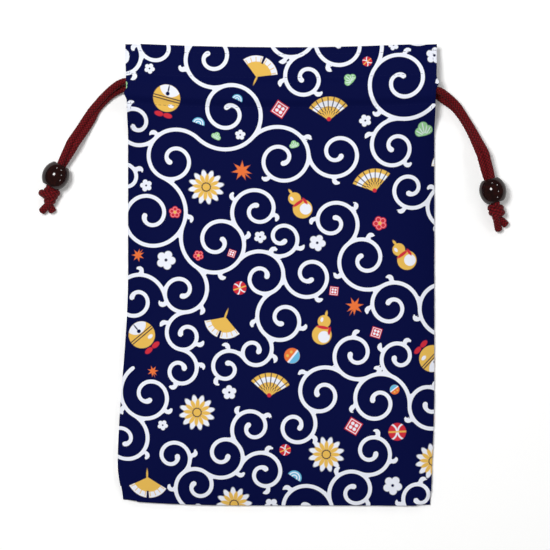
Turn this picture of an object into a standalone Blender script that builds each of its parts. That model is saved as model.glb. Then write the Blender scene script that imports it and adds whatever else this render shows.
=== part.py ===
"""A drawstring bag of printed cotton that lies flat on its back, with its mouth towards +Y.

Two sewn panels make the bag. Each is one sheet of cloth: its side edges and its bottom edge are
turned in, and its top edge is folded inwards as a deep hem. Two rows of stitching through the hem
leave a channel. Two cords run through both channels, each from its own side of the bag, round the
far side and back, and each one's ends pass through a bead and end in one knot.

Sizes are in millimetres, and the finished meshes are in metres.
"""

import math

import bmesh
import bpy
from mathutils import Matrix, Vector

MM = 0.001

# The bag as it lies
BELLY_WIDTH = 196.7
BAG_LENGTH = 296.0
BELLY_CENTRE_X = 2.65
MOUTH_FLARE = 1.2
LEFT_CORNER_SPREAD = 6.6
LEFT_CORNER_SPREAD_ABOVE_BOTTOM = 23.0
RIGHT_CORNER_TUCK = 1.9
LEFT_CORNER_LIFT = 3.2
RIGHT_CORNER_LIFT = 0.8
MOUTH_DIP = 2.8
BELLY_HEIGHT = 12.6
FRILL_DROOP = 1.5
FRILL_CORNER_DROOP = 2.6

# The cloth, its turned edges and its hem
CLOTH = 0.5
FOLD_RADIUS = 0.45
SIDE_TURNING = 6.5
HEM_END_INSET = 9.3
FRILL_HEIGHT = 19.5
CHANNEL_HEIGHT = 19.3
HEM_TAIL = 4.7
SLIT_BELOW_CHANNEL = 21.0
NECK_GAP = 5.0
SEAM_GAP = 0.3

# The cords, beads and knots
CORD_DIAMETER = 4.0
CORD_CLEARANCE = 0.25
LANE_GAP = 0.6
STRAND_GAP = 0.16
BEAD_DIAMETER = 17.2
BEAD_LENGTH = 15.4
BEAD_LIP = 1.0
BORE_CLEARANCE = 0.32
BEAD_TRAVEL = 12.0
KNOT_GAP = 0.5
STRAND_PAST_BEAD = 0.5
FLOOR_GAP = 0.05

# Worked out from the sizes above
CORD_RADIUS = CORD_DIAMETER / 2
BOTTOM = -BAG_LENGTH / 2
TOP = BAG_LENGTH / 2
FOLD_INSET = FOLD_RADIUS + CLOTH / 2
BOTTOM_FOLD = BOTTOM + FOLD_INSET
TOP_FOLD = TOP - FOLD_INSET
CHANNEL_TOP = TOP - FRILL_HEIGHT
CHANNEL_BOTTOM = CHANNEL_TOP - CHANNEL_HEIGHT
CHANNEL_MIDDLE = (CHANNEL_TOP + CHANNEL_BOTTOM) / 2
HEM_END = CHANNEL_BOTTOM - HEM_TAIL
SEAM_TOP = CHANNEL_BOTTOM - SLIT_BELOW_CHANNEL
LAYER_STEP = 2 * FOLD_RADIUS
CHANNEL_DEPTH = CORD_DIAMETER + 2 * CORD_CLEARANCE + CLOTH
CHANNEL_SWELL = CHANNEL_DEPTH - LAYER_STEP
BACK_LEVEL = CLOTH / 2
BACK_CHANNEL_TOP = BACK_LEVEL + CHANNEL_DEPTH + CLOTH / 2
FRONT_CHANNEL_BOTTOM = BACK_CHANNEL_TOP + NECK_GAP + CLOTH / 2
FRONT_NECK_LEVEL = FRONT_CHANNEL_BOTTOM + LAYER_STEP + CHANNEL_SWELL / 2
SEAM_EDGE_LEVEL = BACK_LEVEL + 2 * LAYER_STEP + CLOTH + SEAM_GAP
CORNER_EDGE_LEVEL = BACK_LEVEL + CLOTH + SEAM_GAP
BACK_STRAND_LEVEL = BACK_LEVEL + CLOTH / 2 + CORD_CLEARANCE + CORD_RADIUS
FRONT_STRAND_LEVEL = FRONT_CHANNEL_BOTTOM + CLOTH / 2 + CORD_CLEARANCE + CORD_RADIUS
LANE_OFFSET = (CORD_DIAMETER + LANE_GAP) / 2
LANE_FLAT = LANE_OFFSET + 0.8 * CORD_RADIUS
LEFT_CORD_LANE = CHANNEL_MIDDLE + LANE_OFFSET
RIGHT_CORD_LANE = CHANNEL_MIDDLE - LANE_OFFSET
BEAD_LEVEL = BEAD_DIAMETER / 2 + FLOOR_GAP
STRAND_OFFSET = (CORD_DIAMETER + STRAND_GAP) / 2
BORE_RADIUS = STRAND_OFFSET + CORD_RADIUS + BORE_CLEARANCE

# Where each bead lies, and the way from the bag to its knot
LEFT_BEAD_AT = Vector((-141.3, 63.4, BEAD_LEVEL))
LEFT_BEAD_WAY = Vector((-0.47, -0.883, 0.0)).normalized()
RIGHT_BEAD_AT = Vector((137.8, 53.8, BEAD_LEVEL))
RIGHT_BEAD_WAY = Vector((0.26, -0.966, 0.0)).normalized()

# The doubled end of each cord from its channel to its bead, chosen by hand. A row gives a point
# midway between the two strands, how far each strand lies from that point, and by how many degrees
# the way to the strand from the front channel leans up from level.
LEFT_PAIR = (
    (-91.6, 121.0, 8.1, 4.2, 90.0),
    (-96.8, 121.9, 7.7, 3.8, 63.0),
    (-103.4, 118.8, 5.8, 2.9, 60.0),
    (-109.4, 114.2, 4.5, 2.2, 61.0),
    (-116.4, 106.5, 4.0, STRAND_OFFSET, 55.0),
    (-120.5, 99.9, 3.6, STRAND_OFFSET, 22.0),
    (-124.8, 92.2, 4.6, STRAND_OFFSET, 4.0),
)
RIGHT_PAIR = (
    (96.0, 116.4, 8.1, 4.2, 90.0),
    (101.9, 116.6, 7.5, 3.8, 70.0),
    (108.0, 113.0, 5.8, 2.9, 57.0),
    (114.4, 107.8, 4.5, 2.2, 60.0),
    (119.4, 101.0, 4.1, STRAND_OFFSET, 68.0),
    (124.0, 93.4, 4.3, STRAND_OFFSET, 64.0),
    (128.2, 84.6, 5.6, STRAND_OFFSET, 45.0),
)
# The same lean on the straight run above the bead, on which the bead slides, and inside the bead
LEFT_STRAIGHT_LEANS = (12.0, 24.0, 48.0, 66.0, 90.0)
RIGHT_STRAIGHT_LEANS = (18.0, 10.0, 16.0, 44.0, 90.0)

# Each knot: the middle of its lump, the loop that stands out of it, and the ends of its two tails
LEFT_KNOT_AT = Vector((-145.2, 51.3, 6.0))
LEFT_KNOT_LOOP = Vector((-150.4, 52.3, 3.6))
LEFT_TAIL_ENDS = (Vector((-150.9, 40.8, 2.4)), Vector((-143.6, 40.2, 2.4)))
RIGHT_KNOT_AT = Vector((140.3, 41.4, 6.0))
RIGHT_KNOT_LOOP = Vector((137.3, 36.6, 3.4))
RIGHT_TAIL_ENDS = (Vector((147.3, 31.9, 2.4)), Vector((142.2, 28.9, 2.4)))


def empty_scene():
    for old in list(bpy.data.objects):
        bpy.data.objects.remove(old)


def material(name, colour, roughness, sheen=0.0):
    made = bpy.data.materials.new(name)
    made.use_nodes = True
    shader = made.node_tree.nodes["Principled BSDF"]
    shader.inputs["Base Color"].default_value = (*colour, 1.0)
    shader.inputs["Roughness"].default_value = roughness
    shader.inputs["Metallic"].default_value = 0.0
    shader.inputs["Sheen Weight"].default_value = sheen
    return made


def add_mesh(name, bm, finish):
    """Turns a bmesh in millimetres into an object in metres."""
    bmesh.ops.scale(bm, vec=(MM, MM, MM), verts=bm.verts)
    mesh = bpy.data.meshes.new(name)
    bm.to_mesh(mesh)
    bm.free()
    mesh.materials.append(finish)
    made = bpy.data.objects.new(name, mesh)
    bpy.context.scene.collection.objects.link(made)
    return made


def ease(value, low, high):
    """Goes smoothly from 0 at low to 1 at high."""
    share = min(max((value - low) / (high - low), 0.0), 1.0)
    return share * share * (3 - 2 * share)


def left_edge(y):
    spread_at = BOTTOM + LEFT_CORNER_SPREAD_ABOVE_BOTTOM
    spread = 1.0 - ease(y, spread_at, 0.0)
    corner = 0.4 * ease(-y, -spread_at, -BOTTOM)
    flare = MOUTH_FLARE * ease(y, CHANNEL_BOTTOM, TOP)
    return BELLY_CENTRE_X - BELLY_WIDTH / 2 - flare - LEFT_CORNER_SPREAD * (spread - corner)


def right_edge(y):
    tuck = RIGHT_CORNER_TUCK * ease(-y, -BOTTOM / 2, -BOTTOM)
    flare = MOUTH_FLARE * ease(y, CHANNEL_BOTTOM, TOP)
    return BELLY_CENTRE_X + BELLY_WIDTH / 2 + flare - tuck


def across(x, y):
    """Where x lies between the folded side edges, from -1 at the left to 1 at the right."""
    low = left_edge(y) + FOLD_INSET
    high = right_edge(y) - FOLD_INSET
    return min(max((2 * x - low - high) / (high - low), -1.0), 1.0)


def settled(row, share):
    """The real y of a row of the cloth: the mouth dips in the middle and the lower corners lift."""
    dip = MOUTH_DIP * (1 - share * share) * ease(row, 0.0, CHANNEL_BOTTOM)
    corner = LEFT_CORNER_LIFT if share < 0 else RIGHT_CORNER_LIFT
    lift = corner * abs(share) ** 3 * ease(-row, -BOTTOM / 2, -BOTTOM)
    return row - dip + lift


def channel_swell(row):
    """How full the channel is at a row: 0 at its two stitch rows, 1 over the cords."""
    rise = ease(row, CHANNEL_BOTTOM, CHANNEL_MIDDLE - LANE_FLAT)
    return rise * (1 - ease(row, CHANNEL_MIDDLE + LANE_FLAT, CHANNEL_TOP))


def corner_share(x, row):
    """How far a point lies in a lower corner, where the side and bottom turnings are cut away."""
    from_side = min(x - left_edge(row), right_edge(row) - x)
    in_side = ease(HEM_END_INSET - from_side, 0.0, SIDE_TURNING)
    return in_side * ease(BOTTOM + HEM_END_INSET - row, 0.0, SIDE_TURNING)


def front_level(x, row):
    """Height of the front panel's outer layer, between its seams and over the belly and neck."""
    share = across(x, row)
    belly = BELLY_HEIGHT + (FRONT_NECK_LEVEL - BELLY_HEIGHT) * ease(row, 0.0, CHANNEL_BOTTOM)
    rise = ease(row, SEAM_TOP, CHANNEL_BOTTOM)
    edge = SEAM_EDGE_LEVEL + (FRONT_NECK_LEVEL - SEAM_EDGE_LEVEL) * rise
    edge -= (SEAM_EDGE_LEVEL - CORNER_EDGE_LEVEL) * corner_share(x, row)
    towards_bottom = min(max(row / BOTTOM_FOLD, 0.0), 1.0)
    level = edge + (belly - edge) * (1 - share**6) * (1 - towards_bottom**6)
    droop = ease(row, CHANNEL_TOP, TOP)
    return level - droop * (FRILL_DROOP + FRILL_CORNER_DROOP * share**6)


def front_point(x, row, depth, hem):
    """A point of the front panel: depth is how far its layer lies below the outer one."""
    swell = CHANNEL_SWELL / 2 * channel_swell(row)
    level = front_level(x, row) - depth + (-swell if hem else swell)
    return (x, settled(row, across(x, row)), level)


def back_point(x, row, depth, hem):
    """A point of the back panel, whose outer layer lies flat."""
    swell = CHANNEL_SWELL * channel_swell(row) if hem else 0.0
    return (x, settled(row, across(x, row)), BACK_LEVEL + depth + swell)


def half_turn(steps):
    """Points of a fold: how far past the fold line, and how deep, without its two ends."""
    angles = [math.pi * step / steps for step in range(1, steps)]
    return [(FOLD_RADIUS * math.sin(a), FOLD_RADIUS * (1 - math.cos(a))) for a in angles]


def panel_columns(y, middle_columns):
    """Places across the cloth at height y, as (x, depth, part) from the left turning to the right."""
    low = left_edge(y) + FOLD_INSET
    high = right_edge(y) - FOLD_INSET
    steps = (0.0, 2.6, SIDE_TURNING, HEM_END_INSET, 17.0, 30.0)
    turning = [(SIDE_TURNING, LAYER_STEP), (SIDE_TURNING / 2, LAYER_STEP), (0.0, LAYER_STEP)]
    turning += [(-past, depth) for past, depth in reversed(half_turn(4))]
    left = [(low + inset, depth, "turning") for inset, depth in turning]
    right = [(high - inset, depth, "turning") for inset, depth in reversed(turning)]
    face = [low + step for step in steps]
    span = high - low - 2 * steps[-1]
    face += [low + steps[-1] + span * n / middle_columns for n in range(1, middle_columns)]
    face += [high - step for step in reversed(steps)]
    edge = steps.index(HEM_END_INSET)
    parts = ["margin" if n < edge or n >= len(face) - edge else "middle" for n in range(len(face))]
    return left + [(x, 0.0, part) for x, part in zip(face, parts)] + right


def hem_rows():
    """Rows of the channel and frill, from the lower stitch row to the fold at the mouth."""
    start = CHANNEL_MIDDLE - LANE_FLAT
    rows = [CHANNEL_BOTTOM + (start - CHANNEL_BOTTOM) * n / 4 for n in range(5)]
    rows.append(CHANNEL_MIDDLE)
    rows += [CHANNEL_TOP - (start - CHANNEL_BOTTOM) * n / 4 for n in range(4, -1, -1)]
    frill = [CHANNEL_TOP + (TOP_FOLD - CHANNEL_TOP) * n / 4 for n in range(1, 5)]
    return rows + frill


def panel_rows(belly_rows, detailed_channel):
    """Rows of the cloth as (row, depth, part), from the bottom turning to the hem's raw end."""
    turning = [(SIDE_TURNING, LAYER_STEP), (SIDE_TURNING / 2, LAYER_STEP), (0.0, LAYER_STEP)]
    turning += [(-past, depth) for past, depth in reversed(half_turn(4))]
    rows = [(BOTTOM_FOLD + inset, depth, "bottom_turning") for inset, depth in turning]
    rows += [(row, 0.0, "face") for row in belly_rows]
    folded = hem_rows()
    rows += [(row, 0.0, "face") for row in (folded if detailed_channel else folded[::13])]
    rows += [(TOP_FOLD + past, depth, "hem") for past, depth in half_turn(4)]
    rows += [(row, LAYER_STEP, "hem") for row in reversed(folded)]
    rows.append((HEM_END, LAYER_STEP, "hem"))
    return rows


def cell_kept(column_parts, row_parts, low_row):
    """The cloth has no turnings where a lower corner or a hem end is cut away."""
    if "turning" in column_parts:
        return set(row_parts) == {"face"} and low_row >= BOTTOM + HEM_END_INSET
    if set(row_parts) != {"face"}:
        return set(column_parts) == {"middle"}
    return True


def panel(name, point, belly_rows, middle_columns, detailed_channel, finish):
    """One sheet of cloth with all its folds, as its middle surface given its thickness."""
    rows = panel_rows(belly_rows, detailed_channel)
    grid = []
    bm = bmesh.new()
    for row, depth, row_part in rows:
        line = []
        for x, column_depth, column_part in panel_columns(row, middle_columns):
            place = point(x, row, depth + column_depth, row_part == "hem")
            line.append((bm.verts.new(place), column_part))
        grid.append((line, row, row_part))
    for (low, row, low_part), (high, _, high_part) in zip(grid, grid[1:]):
        for n in range(len(low) - 1):
            if cell_kept((low[n][1], low[n + 1][1]), (low_part, high_part), row):
                bm.faces.new((low[n][0], low[n + 1][0], high[n + 1][0], high[n][0]))
    loose = [vert for vert in bm.verts if not vert.link_faces]
    bmesh.ops.delete(bm, geom=loose, context="VERTS")
    made = add_mesh(name, bm, finish)
    made.data.shade_smooth()
    thicken = made.modifiers.new("Cloth", "SOLIDIFY")
    thicken.thickness = CLOTH * MM
    thicken.offset = 0.0
    thicken.use_even_offset = True
    return made


def smooth_route(points, steps):
    """Reads points from a smooth curve through the given ones, with so many steps for each span."""
    ends = [2 * points[0] - points[1], *points, 2 * points[-1] - points[-2]]
    route = [points[0]]
    for before, start, end, after in zip(ends, ends[1:], ends[2:], ends[3:]):
        for step in range(1, steps + 1):
            t = step / steps
            route.append(
                0.5
                * (
                    2 * start
                    + (end - before) * t
                    + (2 * before - 5 * start + 4 * end - after) * t**2
                    + (3 * start - before - 3 * end + after) * t**3
                )
            )
    return route


def lane_point(lane, x, level):
    return Vector((x, settled(lane, across(x, lane)), level))


def pair_points(rows, side):
    """The two strands of a doubled cord, from rows such as those of LEFT_PAIR."""
    upper = []
    lower = []
    for n, row in enumerate(rows):
        ahead = rows[min(n + 1, len(rows) - 1)] - rows[max(n - 1, 0)]
        outward = Vector((ahead[1], -ahead[0], 0.0)).normalized() * -side
        lean = math.radians(row[4])
        reach = row[3] * (math.cos(lean) * outward + math.sin(lean) * Vector((0, 0, 1)))
        middle = Vector((row[0], row[1], row[2]))
        upper.append(middle + reach)
        lower.append(middle - reach)
    return upper, lower


def cord_route(lane, side, bead_at, bead_way, pair, straight_leans):
    """One cord from its knot, through both channels and the turn between them, to its knot again."""
    near = (left_edge(lane) if side < 0 else right_edge(lane)) - side * (HEM_END_INSET + 2.0)
    far = (right_edge(lane) if side < 0 else left_edge(lane)) + side * (HEM_END_INSET + 2.0)
    bead_end = BEAD_LENGTH / 2
    straight = (bead_end + BEAD_TRAVEL + 4.5, bead_end + BEAD_TRAVEL + 1.0, bead_end + 6.3)
    straight += (bead_end + 0.8, 0.0)

    channel_steps = 10
    xs = [near + (far - near) * n / channel_steps for n in range(channel_steps + 1)]
    front = [lane_point(lane, x, FRONT_STRAND_LEVEL) for x in xs]
    back = [lane_point(lane, x, BACK_STRAND_LEVEL) for x in xs]
    turn_radius = (FRONT_STRAND_LEVEL - BACK_STRAND_LEVEL) / 2
    middle = (front[-1] + back[-1]) / 2
    turn = []
    for n in range(1, 8):
        angle = math.pi * n / 8
        reach = -side * turn_radius * math.sin(angle)
        turn.append(middle + Vector((reach, 0, turn_radius * math.cos(angle))))

    rows = [Vector((*((front[0] + back[0]) / 2), turn_radius, 90.0))]
    rows += [Vector(row) for row in pair]
    for distance, lean in zip(straight, straight_leans):
        rows.append(Vector((*(bead_at - bead_way * distance), STRAND_OFFSET, lean)))
    end = bead_at + bead_way * (bead_end + STRAND_PAST_BEAD)
    rows = smooth_route(rows, 2) + [Vector((*end, STRAND_OFFSET, 90.0))]
    first, last = pair_points(rows, side)
    return first[::-1] + front[1:] + turn + back[::-1][:-1] + last


def cord(name, route, finish):
    curve = bpy.data.curves.new(name, "CURVE")
    curve.dimensions = "3D"
    curve.bevel_depth = CORD_RADIUS * MM
    curve.bevel_resolution = 2
    curve.use_fill_caps = True
    spline = curve.splines.new("POLY")
    spline.points.add(len(route) - 1)
    for place, point in zip(spline.points, route):
        place.co = (*(point * MM), 1.0)
    curve.materials.append(finish)
    made = bpy.data.objects.new(name, curve)
    bpy.context.scene.collection.objects.link(made)
    return made


def bead_profile():
    """The bead's section as (radius, along): a full round side, rolled over into a straight bore."""
    half = BEAD_LENGTH / 2
    widest = BEAD_DIAMETER / 2
    side_end = half - BEAD_LIP / 5
    steep = math.acos((BORE_RADIUS + BEAD_LIP) / widest)
    side_steps = 10
    lip_steps = 3
    profile = []
    for n in range(side_steps + 1):
        angle = steep * (2 * n / side_steps - 1)
        profile.append((widest * math.cos(angle), side_end * math.sin(angle) / math.sin(steep)))
    lips = []
    for n in range(1, lip_steps + 1):
        angle = math.pi * n / lip_steps
        radius = BORE_RADIUS + BEAD_LIP / 2 * (1 + math.cos(angle))
        lips.append((radius, half - BEAD_LIP / 5 * (1 - math.sin(angle))))
    lips[-1] = (BORE_RADIUS, half - BEAD_LIP / 2)
    return profile + lips + [(radius, -along) for radius, along in reversed(lips)]


def bead(name, at, way, finish):
    """A turned bead with a through bore, its axis along the cord."""
    segments = 28
    bm = bmesh.new()
    rings = []
    for n in range(segments):
        turn = 2 * math.pi * n / segments
        ring = [
            bm.verts.new((radius * math.cos(turn), radius * math.sin(turn), along))
            for radius, along in bead_profile()
        ]
        rings.append(ring)
    for ring, following in zip(rings, rings[1:] + rings[:1]):
        for n in range(len(ring)):
            after = (n + 1) % len(ring)
            bm.faces.new((ring[n], following[n], following[after], ring[after]))
    bmesh.ops.recalc_face_normals(bm, faces=bm.faces)
    made = add_mesh(name, bm, finish)
    made.data.shade_smooth()
    made.data.set_sharp_from_angle(angle=math.radians(50))
    made.location = at * MM
    made.rotation_euler = way.to_track_quat("Z", "Y").to_euler()
    return made


def add_rod(bm, start, end, radius):
    """A round-ended rod between two points."""
    length = (end - start).length
    turn = (end - start).to_track_quat("Z", "Y").to_matrix().to_4x4()
    place = Matrix.Translation((start + end) / 2) @ turn
    bmesh.ops.create_cone(
        bm, cap_ends=True, segments=16, radius1=radius, radius2=radius, depth=length, matrix=place
    )
    ball = Matrix.Translation(end)
    bmesh.ops.create_uvsphere(bm, u_segments=16, v_segments=8, radius=radius, matrix=ball)


def add_ring(bm, centre, axis, ring_radius, radius):
    """One turn of cord round the knot."""
    around, along = 20, 10
    turn = Matrix.Translation(centre) @ axis.to_track_quat("Z", "Y").to_matrix().to_4x4()
    rings = []
    for n in range(around):
        a = 2 * math.pi * n / around
        ring = []
        for m in range(along):
            b = 2 * math.pi * m / along
            reach = ring_radius + radius * math.cos(b)
            local = Vector((reach * math.cos(a), reach * math.sin(a), radius * math.sin(b)))
            ring.append(bm.verts.new(turn @ local))
        rings.append(ring)
    for ring, following in zip(rings, rings[1:] + rings[:1]):
        for n in range(along):
            after = (n + 1) % along
            bm.faces.new((ring[n], following[n], following[after], ring[after]))


def knot(name, at, loop, bead_at, way, tail_ends, finish):
    """Both strands tied together in one overhand knot, with two short tails."""
    core = 3.4
    turn_radius = 3.1
    bm = bmesh.new()
    bmesh.ops.create_uvsphere(
        bm, u_segments=20, v_segments=12, radius=core, matrix=Matrix.Translation(at)
    )
    side = Vector((-way.y, way.x, 0.0))
    up = Vector((0, 0, 1))
    add_ring(bm, at - way * 0.3, (way + 0.25 * up).normalized(), turn_radius, CORD_RADIUS * 0.95)
    add_ring(bm, at + way * 1.8, (way - 0.5 * side).normalized(), turn_radius, CORD_RADIUS * 0.95)
    neck = bead_at + way * (BEAD_LENGTH / 2 + STRAND_PAST_BEAD + KNOT_GAP)
    for rise in (STRAND_OFFSET, -STRAND_OFFSET):
        bend = neck + way * CORD_RADIUS * 0.7 + up * rise
        add_rod(bm, neck + up * rise, bend, CORD_RADIUS * 0.95)
        add_rod(bm, bend + (at - bend) * 0.2, at + up * rise * 0.6, CORD_RADIUS * 0.95)
    add_rod(bm, at, loop, CORD_RADIUS * 0.95)
    for end in tail_ends:
        start = at + (end - at) * 0.25
        add_rod(bm, start, end, CORD_RADIUS)
    bmesh.ops.recalc_face_normals(bm, faces=bm.faces)
    made = add_mesh(name, bm, finish)
    fuse = made.modifiers.new("Tied tight", "REMESH")
    fuse.mode = "VOXEL"
    fuse.voxel_size = 0.7 * MM
    fuse.use_smooth_shade = True
    thin = made.modifiers.new("Fewer faces", "DECIMATE")
    thin.ratio = 0.3
    return made


def build():
    empty_scene()
    navy = material("printed_cotton", (0.006, 0.007, 0.075), 0.85, sheen=0.2)
    red = material("red_cord", (0.13, 0.012, 0.018), 0.7)
    dark = material("dark_bead", (0.018, 0.005, 0.004), 0.12)

    turned = (0.0, 2.6, SIDE_TURNING, HEM_END_INSET, 17.0, 30.0)
    corner_rows = [BOTTOM_FOLD + inset for inset in turned]
    belly_end = SEAM_TOP - 14.0
    belly_steps = 6
    belly_rows = [
        corner_rows[-1] + (belly_end - corner_rows[-1]) * n / belly_steps
        for n in range(1, belly_steps + 1)
    ]
    slit_steps = 4
    slit_rows = [
        SEAM_TOP + (CHANNEL_BOTTOM - SEAM_TOP) * n / slit_steps for n in range(slit_steps)
    ]
    front_rows = corner_rows + belly_rows + slit_rows
    back_rows = [corner_rows[0], corner_rows[3], corner_rows[5], 0.0, SEAM_TOP]
    panel("front_panel", front_point, front_rows, 5, True, navy)
    panel("back_panel", back_point, back_rows, 5, False, navy)

    sides = (
        ("left", -1, LEFT_CORD_LANE, LEFT_BEAD_AT, LEFT_BEAD_WAY, LEFT_PAIR,
         LEFT_STRAIGHT_LEANS, LEFT_KNOT_AT, LEFT_KNOT_LOOP, LEFT_TAIL_ENDS),
        ("right", 1, RIGHT_CORD_LANE, RIGHT_BEAD_AT, RIGHT_BEAD_WAY, RIGHT_PAIR,
         RIGHT_STRAIGHT_LEANS, RIGHT_KNOT_AT, RIGHT_KNOT_LOOP, RIGHT_TAIL_ENDS),
    )
    for word, side, lane, bead_at, way, pair, leans, knot_at, loop, tails in sides:
        cord(f"{word}_cord", cord_route(lane, side, bead_at, way, pair, leans), red)
        bead(f"{word}_bead", bead_at, way, dark)
        knot(f"{word}_knot", knot_at, loop, bead_at, way, tails, red)


build()
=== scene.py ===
# %% [markdown]
# # A drawstring bag of printed cotton
#
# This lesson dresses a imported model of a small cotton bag. The solids already have their sizes, so
# every piece here is made in their frame, in metres, and none of them is moved.
# The cells go from the camera to the cords, the beads, the print, the cloth, its stitches and the
# room.

# %% The frame
import math
import random

import bmesh
import bpy
import numpy as np
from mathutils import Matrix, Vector, kdtree


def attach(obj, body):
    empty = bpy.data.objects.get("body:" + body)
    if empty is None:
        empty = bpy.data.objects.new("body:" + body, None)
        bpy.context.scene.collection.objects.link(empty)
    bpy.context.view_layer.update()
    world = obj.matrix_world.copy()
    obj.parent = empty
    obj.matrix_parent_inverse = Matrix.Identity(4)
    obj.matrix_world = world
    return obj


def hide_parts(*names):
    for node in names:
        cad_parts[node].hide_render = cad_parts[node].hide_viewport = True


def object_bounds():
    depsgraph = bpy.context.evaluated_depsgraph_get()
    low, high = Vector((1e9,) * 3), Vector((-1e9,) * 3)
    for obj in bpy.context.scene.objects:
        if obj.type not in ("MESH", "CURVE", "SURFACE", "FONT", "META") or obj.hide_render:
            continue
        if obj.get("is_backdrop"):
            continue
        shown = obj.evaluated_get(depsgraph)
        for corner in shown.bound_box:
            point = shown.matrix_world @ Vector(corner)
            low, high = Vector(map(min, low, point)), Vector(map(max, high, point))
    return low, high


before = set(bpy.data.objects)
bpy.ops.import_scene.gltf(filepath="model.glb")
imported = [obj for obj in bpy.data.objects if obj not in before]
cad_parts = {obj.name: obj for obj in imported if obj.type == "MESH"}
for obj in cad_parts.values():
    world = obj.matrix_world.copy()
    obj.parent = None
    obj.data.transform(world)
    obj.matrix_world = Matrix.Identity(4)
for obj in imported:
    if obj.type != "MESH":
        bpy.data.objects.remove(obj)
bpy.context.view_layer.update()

MM = 0.001

# %% [markdown]
# ## The camera
#
# The bag is seen from straight above, with its mouth at the top of the picture. A long lens from
# well above keeps the sides of the bag out of sight, as in the photograph. The picture is 352 mm
# wide at the level of the cloth, so the lens follows from the height of the camera.

# %% Camera
PICTURE_WIDTH = 0.352
CAMERA_HEIGHT = 1.3
CLOTH_LEVEL = 0.006
PICTURE_CENTRE_X = -0.0013
SENSOR = 36.0

camera_data = bpy.data.cameras.new("camera")
camera_data.sensor_width = SENSOR
camera_data.lens = SENSOR * (CAMERA_HEIGHT - CLOTH_LEVEL) / PICTURE_WIDTH
camera = bpy.data.objects.new("camera", camera_data)
camera.location = (PICTURE_CENTRE_X, 0.0, CAMERA_HEIGHT)
bpy.context.scene.collection.objects.link(camera)
bpy.context.scene.camera = camera
print("lens:", round(camera_data.lens, 1), "mm")

# %% [markdown]
# ## The shape of the bag
#
# The cloth, the channels and the cords all follow the same few sizes, so they come first. They are
# in millimetres here. An outline is a function of the height along the bag: the belly is straight,
# the mouth flares a little, and the lower left corner has spread.

# %% Sizes of the bag
BELLY_WIDTH = 196.7
BELLY_CENTRE_X = 2.65
TOP, BOTTOM = 148.0, -148.0
MOUTH_FLARE, MOUTH_DIP = 1.2, 2.8
LEFT_SPREAD, LEFT_SPREAD_AT = 6.6, BOTTOM + 23.0
RIGHT_TUCK, LEFT_LIFT, RIGHT_LIFT = 1.9, 3.2, -0.3
BELLY_HEIGHT = 12.6
CLOTH = 0.38
FOLD_RADIUS = 0.45
FOLD_INSET = 0.7
LAYER_STEP = 2 * FOLD_RADIUS
SIDE_TURNING, HEM_END_INSET = 6.5, 9.3
CHANNEL_TOP, CHANNEL_BOTTOM = 128.5, 109.2
CHANNEL_MIDDLE = (CHANNEL_TOP + CHANNEL_BOTTOM) / 2
HEM_END, SEAM_TOP = 104.5, 88.2
BOTTOM_FOLD, TOP_FOLD = BOTTOM + FOLD_INSET, TOP - FOLD_INSET
CHANNEL_SWELL = 4.1
LANE_OFFSET, LANE_FLAT = 2.3, 3.9
FRONT_NECK_LEVEL, BACK_LEVEL = 13.7, 0.25
SEAM_EDGE_LEVEL, CORNER_EDGE_LEVEL = 2.85, 1.05
FRILL_DROOP, FRILL_CORNER_DROOP = 1.5, 2.6
TOP_STITCH = TOP - 4.6
STITCH_ROWS = (TOP_STITCH, CHANNEL_TOP, CHANNEL_BOTTOM)


def ease(value, low, high):
    """Goes smoothly from 0 at low to 1 at high, for one number or an array."""
    share = np.clip((value - low) / (high - low), 0.0, 1.0)
    return share * share * (3 - 2 * share)


def left_edge(y):
    spread = 1.0 - ease(y, LEFT_SPREAD_AT, 0.0) - 0.4 * ease(-y, -LEFT_SPREAD_AT, -BOTTOM)
    flare = MOUTH_FLARE * ease(y, CHANNEL_BOTTOM, TOP)
    return BELLY_CENTRE_X - BELLY_WIDTH / 2 - flare - LEFT_SPREAD * spread


def right_edge(y):
    flare = MOUTH_FLARE * ease(y, CHANNEL_BOTTOM, TOP)
    return BELLY_CENTRE_X + BELLY_WIDTH / 2 + flare - RIGHT_TUCK * ease(-y, -BOTTOM / 2, -BOTTOM)


def across(x, y):
    """Where x lies between the folded side edges, from -1 at the left to 1 at the right."""
    low, high = left_edge(y) + FOLD_INSET, right_edge(y) - FOLD_INSET
    return np.clip((2 * x - low - high) / (high - low), -1.0, 1.0)


def settled(row, share):
    """The real y of a row of the cloth: the mouth dips and the lower corners lift."""
    dip = MOUTH_DIP * (1 - share**2) * ease(row, 0.0, CHANNEL_BOTTOM)
    corner = np.where(share < 0, LEFT_LIFT, RIGHT_LIFT)
    return row - dip + corner * np.abs(share) ** 3 * ease(-row, -BOTTOM / 2, -BOTTOM)


print("width at the mouth:", round(float(right_edge(TOP) - left_edge(TOP)), 1), "mm")

# %% [markdown]
# ## The cords
#
# Each cord is one length of round braid. Both ends leave the bag at the same side, go through the
# bead and are tied together. A curve with a round section would look like plastic, so the braid is
# modelled: a tube whose radius rises and falls where its strands pass over and under each other.
# The tube follows the route of the solids closely. The knot at its end is made to look tied: one
# strand runs on as a core and the other is wound round it. A real knot would pass through itself,
# and some of its bends here are tighter than a cord can make.

# %% Route of a cord
BEAD_DIAMETER, BEAD_LENGTH, BEAD_TRAVEL = 17.2, 15.4, 12.0
BEAD_LEVEL = 8.65
STRAND_OFFSET = 1.92
CORD_RADIUS = 2.0
# The knot: its length, how often the strand goes round, how far out, and the lowest it may lie
KNOT_LENGTH, KNOT_TURNS, KNOT_REACH, KNOT_REST_LEVEL = 6.2, 2.1, 3.1, 2.5
TURN_POINTS = 28
TAIL_LIFT = 0.3
FRONT_STRAND_LEVEL, BACK_STRAND_LEVEL = 13.25, 2.75
LANE_POINTS = 28
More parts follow.
